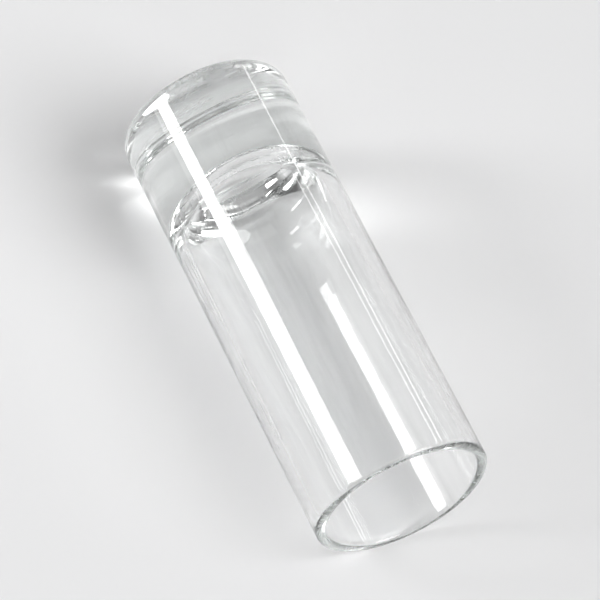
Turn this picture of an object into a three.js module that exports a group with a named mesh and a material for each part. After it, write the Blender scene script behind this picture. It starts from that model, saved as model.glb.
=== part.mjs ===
// A tall shot glass, the straight kind sold as a shooter: a clear round tube with one open end and a
// thick solid base. It is pressed in one piece, so it is one solid.
// Millimetres, +Z up. The glass lies on its side with its axis along Y: the open mouth faces -Y and
// the base faces +Y. The origin is under the middle of the glass, on the surface that it lies on.

import * as THREE from 'three';

// Driving dimensions.
const LENGTH = 101.6;
const OUTER_DIAMETER = 38.1;
const BASE_THICKNESS = 19; // solid glass from the foot to the deepest point of the well
const WALL_AT_MOUTH = 2.2;
const WALL_AT_BASE = 2.9; // the well narrows a little towards the base, so that the plunger comes out
const BOWL_DEPTH = 13; // length of the rounded bottom end of the well
const BOWL_FULLNESS = 2.5; // 2 is an ellipse, and more is a squarer bottom
const HEEL_RADIUS = 2.2; // rounded outer edge between the side and the foot
const FOOT_INNER_RADIUS = 13.2; // inside this the underside is pushed up, clear of the table
const PUSH_UP = 1.2; // depth of that hollow at its middle

// Fineness of the facets.
const SIDES = 48; // a multiple of 4, so that a flat lies under the glass and at each side
const BOWL_STEPS = 12;
const LIP_STEPS = 8;
const HEEL_STEPS = 6;
const PUSH_UP_STEPS = 5;

// Worked out from the dimensions. In the profile, x is the distance from the axis and y runs along it.
const outerRadius = OUTER_DIAMETER / 2;
const footY = LENGTH / 2;
const mouthY = -LENGTH / 2;
const wellRadius = outerRadius - WALL_AT_BASE;
const wellBottomY = footY - BASE_THICKNESS;
const lipRadius = WALL_AT_MOUTH / 2;

// Points on an arc about (x, y), from one angle to another in degrees, both ends included.
function arc(x, y, radius, from, to, steps) {
  return Array.from({ length: steps + 1 }, (_, i) => {
    const angle = THREE.MathUtils.degToRad(from + ((to - from) * i) / steps);
    return new THREE.Vector2(x + radius * Math.cos(angle), y + radius * Math.sin(angle));
  });
}

// The rounded bottom of the well: a quarter of a superellipse, from the axis out to the side wall.
function bowl() {
  return Array.from({ length: BOWL_STEPS + 1 }, (_, i) => {
    const angle = (Math.PI / 2) * (1 - i / BOWL_STEPS);
    const across = i === 0 ? 0 : Math.cos(angle) ** (2 / BOWL_FULLNESS);
    const along = i === BOWL_STEPS ? 0 : Math.sin(angle) ** (2 / BOWL_FULLNESS);
    return new THREE.Vector2(wellRadius * across, wellBottomY - BOWL_DEPTH * (1 - along));
  });
}

// The hollow under the base: a shallow dome, from the foot in to the axis.
function pushUp() {
  return Array.from({ length: PUSH_UP_STEPS + 1 }, (_, i) => {
    const share = 1 - i / PUSH_UP_STEPS;
    return new THREE.Vector2(FOOT_INNER_RADIUS * share, footY - PUSH_UP * (1 - share ** 2));
  });
}

// The section of the glass on one side of its axis, from inside the well round to the underside.
function profile() {
  return [
    ...bowl(),
    ...arc(outerRadius - lipRadius, mouthY + lipRadius, lipRadius, 180, 360, LIP_STEPS),
    ...arc(outerRadius - HEEL_RADIUS, footY - HEEL_RADIUS, HEEL_RADIUS, 0, 90, HEEL_STEPS),
    ...pushUp(),
  ];
}

// The facets' flats lie on the true radii, and half a facet of turn puts one flat underneath.
function glassGeometry() {
  const geometry = new THREE.LatheGeometry(profile(), SIDES, Math.PI / SIDES);
  const flatsToCorners = 1 / Math.cos(Math.PI / SIDES);
  geometry.scale(flatsToCorners, 1, flatsToCorners);
  return geometry;
}

const clearGlass = new THREE.MeshStandardMaterial({
  color: 0xe6ecec,
  roughness: 0.04,
  metalness: 0,
  transparent: true,
  opacity: 0.35,
});

const glassTube = new THREE.Mesh(glassGeometry(), clearGlass);
glassTube.name = 'glass_tube';
glassTube.position.z = outerRadius;

const group = new THREE.Group();
group.add(glassTube);

export default group;
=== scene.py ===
"""Looks for the tall shot glass: one piece of clear pressed glass, lying on its side on a pale floor.

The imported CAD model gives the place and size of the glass. This script replaces its facets with a fine
smooth body of the same section, and adds a glass material, a floor, soft lights and a camera.
Metres. The glass's axis runs along Y, with the open mouth at the -Y end and the foot at the +Y end.
"""

import math

import bpy
from mathutils import Matrix, Vector, noise


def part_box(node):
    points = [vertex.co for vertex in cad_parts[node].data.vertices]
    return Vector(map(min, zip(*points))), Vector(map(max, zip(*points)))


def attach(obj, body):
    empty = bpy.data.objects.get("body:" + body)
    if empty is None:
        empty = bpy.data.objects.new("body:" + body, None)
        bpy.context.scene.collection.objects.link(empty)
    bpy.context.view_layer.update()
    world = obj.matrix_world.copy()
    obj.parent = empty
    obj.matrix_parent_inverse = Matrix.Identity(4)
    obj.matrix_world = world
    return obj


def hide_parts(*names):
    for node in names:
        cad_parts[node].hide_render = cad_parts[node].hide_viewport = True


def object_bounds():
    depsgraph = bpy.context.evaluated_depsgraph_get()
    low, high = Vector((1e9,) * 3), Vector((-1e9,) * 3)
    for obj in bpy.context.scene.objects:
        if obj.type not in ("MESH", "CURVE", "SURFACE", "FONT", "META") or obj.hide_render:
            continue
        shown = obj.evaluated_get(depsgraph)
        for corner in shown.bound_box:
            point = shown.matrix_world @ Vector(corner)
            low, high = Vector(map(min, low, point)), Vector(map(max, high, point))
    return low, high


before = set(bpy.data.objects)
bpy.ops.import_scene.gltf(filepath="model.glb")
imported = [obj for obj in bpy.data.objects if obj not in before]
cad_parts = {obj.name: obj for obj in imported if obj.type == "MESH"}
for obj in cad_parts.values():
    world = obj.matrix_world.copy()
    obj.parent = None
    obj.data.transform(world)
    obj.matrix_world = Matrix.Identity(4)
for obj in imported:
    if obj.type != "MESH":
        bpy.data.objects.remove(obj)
cad_low, cad_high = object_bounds()

MM = 0.001

# The glass: its overall size comes from the CAD model, and the rest of its section is named here.
NODE = "glass_tube"
node_low, node_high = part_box(NODE)
outer_radius = (node_high[2] - node_low[2]) / 2
axis_height = (node_high[2] + node_low[2]) / 2
mouth_y, foot_y = node_low[1], node_high[1]
BASE_THICKNESS = 19 * MM
WALL_AT_MOUTH = 2.2 * MM
WALL_AT_BASE = 2.9 * MM
BOWL_DEPTH = 13 * MM
BOWL_FULLNESS = 2.5
HEEL_RADIUS = 2.2 * MM
FOOT_INNER_RADIUS = 13.2 * MM
PUSH_UP = 1.2 * MM

# Fineness of the mesh: steps around the axis, and along each stretch of the section.
SIDES = 256
BOWL_STEPS = 40
WELL_STEPS = 70
LIP_STEPS = 20
SIDE_STEPS = 90
HEEL_STEPS = 14
FOOT_STEPS = 6
PUSH_UP_STEPS = 24

# The slow waves in the inside wall. They fade out near the axis, at the deepest point of the well.
RIPPLE_DEPTH = 0.03 * MM
RIPPLE_LENGTH = 22 * MM
RIPPLE_TURNS = 1.6
RIPPLE_FADE = 4 * MM

# The glass itself.
GLASS_COLOUR = (0.99, 0.993, 0.992, 1)
GLASS_IOR = 1.52
DEPTH_COLOUR = (0.74, 0.80, 0.77, 1)
DEPTH_DENSITY = 4.0

# The marks on it. A cell is the size of one mark, across and along the glass, and a mark goes from
# absent to full between the two noise values of its cover.
SMEAR_CELL = (9 * MM, 26 * MM)
SMEAR_COVER = (0.42, 0.62)
SMEAR_MOST = 0.8
SMEAR_ROUGHNESS = 0.3
WIPE_CELL = (1.1 * MM, 14 * MM)
WIPE_COVER = (0.35, 0.6)
SCUFF_CELL = (1.5 * MM, 1.5 * MM)
SCUFF_COVER = (0.3, 0.7)
SCUFF_ROUGHNESS = (0.03, 0.12)

# The scuffs begin at the first distance short of the foot's face and are full at the second. They fade
# in over the last stretch before the ring's inner edge.
RING_RISE = (0.5 * MM, 0.1 * MM)
RING_EDGE = 0.6 * MM

# The fine unevenness of its surfaces, which is in the material.
DRAWN_CELL = (2.4 * MM, 70 * MM)
DRAWN_SHARE = 0.12
WAVE_CELL = (11 * MM, 11 * MM)
WAVE_DEPTH = 0.02 * MM

# The floor.
FLOOR_SIZE = 40
FLOOR_COLOUR = (0.78, 0.78, 0.785, 1)
FLOOR_ROUGHNESS = 0.6

# The room: how bright it is at each height, from the horizon, 0, to straight overhead, 1.
ROOM = ((0, 0.62), (0.1, 0.5), (0.24, 0.05), (0.42, 0.05), (0.75, 0.35), (1, 0.35))
ROOM_STRENGTH = 1.2

# The camera looks at the glass from the front left and above.
VIEW_AZIMUTH, VIEW_ELEVATION = -30.7, 58.5
VIEW_DISTANCE = 0.675
VIEW_ROLL = 7.5
FRAME_HEIGHT = 0.125
SENSOR_WIDTH = 36
NEAREST, FARTHEST = 0.01, 20

LIGHT_BOUNCES = 96
GLOSSY_BLUR = 0.05


def arc(x, y, radius, start, end, steps):
    """Points on an arc about (x, y), from one angle to another in degrees, without the last."""
    angles = [math.radians(start + (end - start) * i / steps) for i in range(steps)]
    return [(x + radius * math.cos(a), y + radius * math.sin(a)) for a in angles]


def line(a, b, steps):
    """Points from a to b, without the last."""
    return [tuple(p + (q - p) * i / steps for p, q in zip(a, b)) for i in range(steps)]


def bowl():
    """The rounded bottom of the well, from beside its deepest point out to the side wall."""
    well_radius = outer_radius - WALL_AT_BASE
    bottom = foot_y - BASE_THICKNESS
    points = []
    for i in range(1, BOWL_STEPS):
        a = math.pi / 2 * (1 - i / BOWL_STEPS)
        across = math.cos(a) ** (2 / BOWL_FULLNESS)
        along = math.sin(a) ** (2 / BOWL_FULLNESS)
        points.append((well_radius * across, bottom - BOWL_DEPTH * (1 - along)))
    return points


def push_up():
    """The shallow hollow under the base, from the foot in towards the axis."""
    shares = [1 - i / PUSH_UP_STEPS for i in range(PUSH_UP_STEPS)]
    return [(FOOT_INNER_RADIUS * s, foot_y - PUSH_UP * (1 - s * s)) for s in shares]


def inner_section():
    """(distance from the axis, place along it) of the well, from its bottom to its mouth."""
    bowl_end = (outer_radius - WALL_AT_BASE, foot_y - BASE_THICKNESS - BOWL_DEPTH)
    lip_start = (outer_radius - WALL_AT_MOUTH, mouth_y + WALL_AT_MOUTH / 2)
    return bowl() + line(bowl_end, lip_start, WELL_STEPS)


def outer_section():
    """The same for the lip, the side, the heel, the foot and the underside."""
    lip = WALL_AT_MOUTH / 2
    heel_radius = outer_radius - HEEL_RADIUS
    return [
        *arc(outer_radius - lip, mouth_y + lip, lip, 180, 360, LIP_STEPS),
        *line((outer_radius, mouth_y + lip), (outer_radius, foot_y - HEEL_RADIUS), SIDE_STEPS),
        *arc(heel_radius, foot_y - HEEL_RADIUS, HEEL_RADIUS, 0, 90, HEEL_STEPS),
        *line((heel_radius, foot_y), (FOOT_INNER_RADIUS, foot_y), FOOT_STEPS),
        *push_up(),
    ]


def ripple(turn, y, radius):
    """How far the inside wall lies off its true shape: the plunger leaves slow waves in the soft glass."""
    at = Vector((math.cos(turn) * RIPPLE_TURNS, math.sin(turn) * RIPPLE_TURNS, y / RIPPLE_LENGTH))
    fade = min(1.0, radius / RIPPLE_FADE)
    return RIPPLE_DEPTH * noise.noise(at) * fade


def ring(radius, y, rippled):
    """The mesh points once around the axis."""
    points = []
    for i in range(SIDES):
        turn = math.tau * i / SIDES
        r = radius - ripple(turn, y, radius) if rippled else radius
        points.append((r * math.sin(turn), y, axis_height + r * math.cos(turn)))
    return points


def glass_mesh():
    """The section turned about the axis, closed by a fan at the well's bottom and one underneath."""
    rings = [ring(r, y, True) for r, y in inner_section()]
    rings += [ring(r, y, False) for r, y in outer_section()]
    verts = [point for points in rings for point in points]
    well_bottom, underside = len(verts), len(verts) + 1
    verts.append((0.0, foot_y - BASE_THICKNESS, axis_height))
    verts.append((0.0, foot_y - PUSH_UP, axis_height))

    faces = []
    last = (len(rings) - 1) * SIDES
    for a in range(0, last, SIDES):
        b = a + SIDES
        for i in range(SIDES):
            j = (i + 1) % SIDES
            faces.append((a + i, a + j, b + j, b + i))
    for i in range(SIDES):
        j = (i + 1) % SIDES
        faces.append((well_bottom, j, i))
        faces.append((underside, last + i, last + j))
    mesh = bpy.data.meshes.new("glass_tube_body")
    mesh.from_pydata(verts, [], faces)
    mesh.validate()
    mesh.shade_smooth()
    return mesh


def new_material(name):
    material = bpy.data.materials.new(name)
    material.use_nodes = True
    nodes, links = material.node_tree.nodes, material.node_tree.links
    nodes.clear()
    return material, nodes, links


def link_math(nodes, links, operation, a, b):
    """A Math node on two inputs, each of them an output or a number."""
    node = nodes.new("ShaderNodeMath")
    node.operation = operation
    for socket, value in zip(node.inputs, (a, b)):
        if isinstance(value, bpy.types.NodeSocket):
            links.new(value, socket)
        else:
            socket.default_value = value
    return node.outputs["Value"]


def scaled(nodes, links, place, scale):
    """The place on the glass, measured from its axis, with each direction scaled on its own."""
    mapping = nodes.new("ShaderNodeMapping")
    mapping.inputs["Location"].default_value = (0, 0, -axis_height * scale[2])
    mapping.inputs["Scale"].default_value = scale
    links.new(place, mapping.inputs["Vector"])
    return mapping.outputs["Vector"]


def noise_at(nodes, links, place, cell, detail):
    """Noise with lumps of about cell = (across, along) metres."""
    across, along = 1 / cell[0], 1 / cell[1]
    texture = nodes.new("ShaderNodeTexNoise")
    texture.inputs["Scale"].default_value = 1.0
    texture.inputs["Detail"].default_value = detail
    links.new(scaled(nodes, links, place, (across, along, across)), texture.inputs["Vector"])
    return texture.outputs["Fac"]


def between(nodes, links, value, start, end, low=0.0, high=1.0):
    """Turns value from start to end smoothly into low to high, and holds it outside them."""
    node = nodes.new("ShaderNodeMapRange")
    node.interpolation_type = "SMOOTHSTEP"
    ends = {"From Min": start, "From Max": end, "To Min": low, "To Max": high}
    for name, number in ends.items():
        node.inputs[name].default_value = number
    links.new(value, node.inputs["Value"])
    return node.outputs["Result"]


def foot_ring(nodes, links, place):
    """1 on the flat ring that the glass stands on, and 0 elsewhere."""
    split = nodes.new("ShaderNodeSeparateXYZ")
    links.new(place, split.inputs["Vector"])
    start, full = (foot_y - rise for rise in RING_RISE)
    at_foot = between(nodes, links, split.outputs["Y"], start, full)
    from_axis = nodes.new("ShaderNodeVectorMath")
    from_axis.operation = "LENGTH"
    links.new(scaled(nodes, links, place, (1, 0, 1)), from_axis.inputs[0])
    inner = FOOT_INNER_RADIUS - RING_EDGE
    outside = between(nodes, links, from_axis.outputs["Value"], inner, FOOT_INNER_RADIUS)
    return link_math(nodes, links, "MULTIPLY", at_foot, outside)


def smears(nodes, links, place):
    """Faint patches left by handling, broken up into streaks by wiping."""
    patches = noise_at(nodes, links, place, SMEAR_CELL, 3)
    patches = between(nodes, links, patches, *SMEAR_COVER, 0, SMEAR_MOST)
    wiped = noise_at(nodes, links, place, WIPE_CELL, 2)
    wiped = between(nodes, links, wiped, *WIPE_COVER)
    return link_math(nodes, links, "MULTIPLY", patches, wiped)


def scuffs(nodes, links, place):
    """The roughness of the foot ring, where the glass has been set down. The rest is smooth."""
    worn = noise_at(nodes, links, place, SCUFF_CELL, 2)
    worn = between(nodes, links, worn, *SCUFF_COVER, *SCUFF_ROUGHNESS)
    return link_math(nodes, links, "MULTIPLY", worn, foot_ring(nodes, links, place))


def unevenness(nodes, links, place):
    """A bump of slow waves with finer lines drawn along the glass."""
    drawn = noise_at(nodes, links, place, DRAWN_CELL, 2)
    waves = noise_at(nodes, links, place, WAVE_CELL, 1)
    height = link_math(nodes, links, "MULTIPLY_ADD", drawn, DRAWN_SHARE)
    links.new(waves, height.node.inputs[2])
    bump = nodes.new("ShaderNodeBump")
    bump.inputs["Strength"].default_value = 1.0
    bump.inputs["Distance"].default_value = WAVE_DEPTH
    links.new(height, bump.inputs["Height"])
    return bump.outputs["Normal"]


def clear_glass():
    """Clear pressed glass: nearly perfect, with smears from handling, drawn lines and a scuffed foot."""
    material, nodes, links = new_material("clear_glass")
    glass = nodes.new("ShaderNodeBsdfPrincipled")
    glass.inputs["Base Color"].default_value = GLASS_COLOUR
    glass.inputs["Transmission Weight"].default_value = 1.0
    glass.inputs["IOR"].default_value = GLASS_IOR
    glass.inputs["Coat Roughness"].default_value = SMEAR_ROUGHNESS
    place = nodes.new("ShaderNodeTexCoord").outputs["Object"]
    links.new(smears(nodes, links, place), glass.inputs["Coat Weight"])
    links.new(scuffs(nodes, links, place), glass.inputs["Roughness"])
    links.new(unevenness(nodes, links, place), glass.inputs["Normal"])

    depth = nodes.new("ShaderNodeVolumeAbsorption")
    depth.inputs["Color"].default_value = DEPTH_COLOUR
    depth.inputs["Density"].default_value = DEPTH_DENSITY
    out = nodes.new("ShaderNodeOutputMaterial")
    links.new(glass.outputs["BSDF"], out.inputs["Surface"])
    links.new(depth.outputs["Volume"], out.inputs["Volume"])
    return material


def floor():
    material, nodes, links = new_material("pale_floor")
    paint = nodes.new("ShaderNodeBsdfPrincipled")
    paint.inputs["Base Color"].default_value = FLOOR_COLOUR
    paint.inputs["Roughness"].default_value = FLOOR_ROUGHNESS
    out = nodes.new("ShaderNodeOutputMaterial")
    links.new(paint.outputs["BSDF"], out.inputs["Surface"])
    bpy.ops.mesh.primitive_plane_add(size=FLOOR_SIZE, location=(0, 0, 0))
    plane = bpy.context.object
    plane.name = "floor"
    plane.data.materials.append(material)


def direction(azimuth, elevation):
    """The unit vector that points from the glass to something seen at these angles, in degrees."""
    a, e = math.radians(azimuth), math.radians(elevation)
    return Vector((math.sin(a) * math.cos(e), -math.cos(a) * math.cos(e), math.sin(e)))


def softbox(name, lean, reach, along, size, power):
    """A rectangle of light above the glass's side, turned about Y to face it.

    lean is its angle from straight up, towards -X, reach is its distance from the glass's axis, along is
    how far its middle lies towards +Y, and size is (across, along Y).
    """
    data = bpy.data.lights.new(name, "AREA")
    data.shape = "RECTANGLE"
    data.size, data.size_y = size
    data.energy = power
    lamp = bpy.data.objects.new(name, data)
    angle = math.radians(lean)
    lamp.location = (-reach * math.sin(angle), along, axis_height + reach * math.cos(angle))
    lamp.rotation_euler = (0, -angle, 0)
    bpy.context.collection.objects.link(lamp)


def far_light(name, azimuth, elevation, width, strength):
    """A soft disc of light, width degrees across, which lights the whole floor evenly."""
    data = bpy.data.lights.new(name, "SUN")
    data.angle = math.radians(width)
    data.energy = strength
    lamp = bpy.data.objects.new(name, data)
    lamp.rotation_mode = "QUATERNION"
    lamp.rotation_quaternion = (-direction(azimuth, elevation)).to_track_quat("-Z", "Y")
    bpy.context.collection.objects.link(lamp)


def lights():
    # The key's reflection is the long white streak down the glass, and its spill softens one edge of it.
    softbox("key", lean=60, reach=1.6, along=0.8, size=(0.45, 0.5), power=10)
    softbox("key_spill", lean=69, reach=1.6, along=0.8, size=(0.35, 0.5), power=1)
    # The edge light draws the fine lines near the other side.
    softbox("edge", lean=-62, reach=1.6, along=0.8, size=(0.07, 0.5), power=0.6)
    # These two stand on the camera's side, so they add no streak. They light the floor and the base.
    far_light("fill", azimuth=37, elevation=46, width=34, strength=1.9)
    softbox("front", lean=10, reach=1.7, along=-0.95, size=(1.6, 1.2), power=8)


def grey(level):
    return (level, level, level, 1)


def studio():
    """Soft light from all round: pale at the horizon, dark above it, and mid grey overhead."""
    world = bpy.data.worlds.new("studio")
    bpy.context.scene.world = world
    world.use_nodes = True
    nodes, links = world.node_tree.nodes, world.node_tree.links
    place = nodes.new("ShaderNodeTexCoord")
    split = nodes.new("ShaderNodeSeparateXYZ")
    ramp = nodes.new("ShaderNodeValToRGB")
    first, last = ramp.color_ramp.elements
    first.color, last.color = grey(ROOM[0][1]), grey(ROOM[-1][1])
    for height, level in ROOM[1:-1]:
        ramp.color_ramp.elements.new(height).color = grey(level)
    links.new(place.outputs["Generated"], split.inputs["Vector"])
    links.new(split.outputs["Z"], ramp.inputs["Fac"])
    links.new(ramp.outputs["Color"], nodes["Background"].inputs["Color"])
    nodes["Background"].inputs["Strength"].default_value = ROOM_STRENGTH


def camera():
    back = direction(VIEW_AZIMUTH, VIEW_ELEVATION)
    data = bpy.data.cameras.new("camera")
    data.sensor_width = SENSOR_WIDTH
    data.lens = SENSOR_WIDTH * VIEW_DISTANCE / FRAME_HEIGHT
    data.clip_start, data.clip_end = NEAREST, FARTHEST
    lens = bpy.data.objects.new("camera", data)
    centre = (cad_low + cad_high) / 2
    lens.location = centre + back * VIEW_DISTANCE
    lens.rotation_mode = "QUATERNION"
    turn = Matrix.Rotation(math.radians(VIEW_ROLL), 3, "Z").to_quaternion()
    lens.rotation_quaternion = (-back).to_track_quat("-Z", "Y") @ turn
    bpy.context.collection.objects.link(lens)
    bpy.context.scene.camera = lens


def glass_body():
    body = bpy.data.objects.new("glass_tube_body", glass_mesh())
    bpy.context.collection.objects.link(body)
    body.data.materials.append(clear_glass())
    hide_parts(NODE)
    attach(body, "root")


def light_paths():
    """Light passes many times between the walls before it leaves, and it isn't blurred on the way."""
    scene = bpy.context.scene
    scene.view_settings.view_transform = "Standard"
    scene.cycles.max_bounces = LIGHT_BOUNCES
    scene.cycles.transmission_bounces = LIGHT_BOUNCES
    scene.cycles.glossy_bounces = LIGHT_BOUNCES
    scene.cycles.blur_glossy = GLOSSY_BLUR


camera()
glass_body()
floor()
lights()
studio()
light_paths()
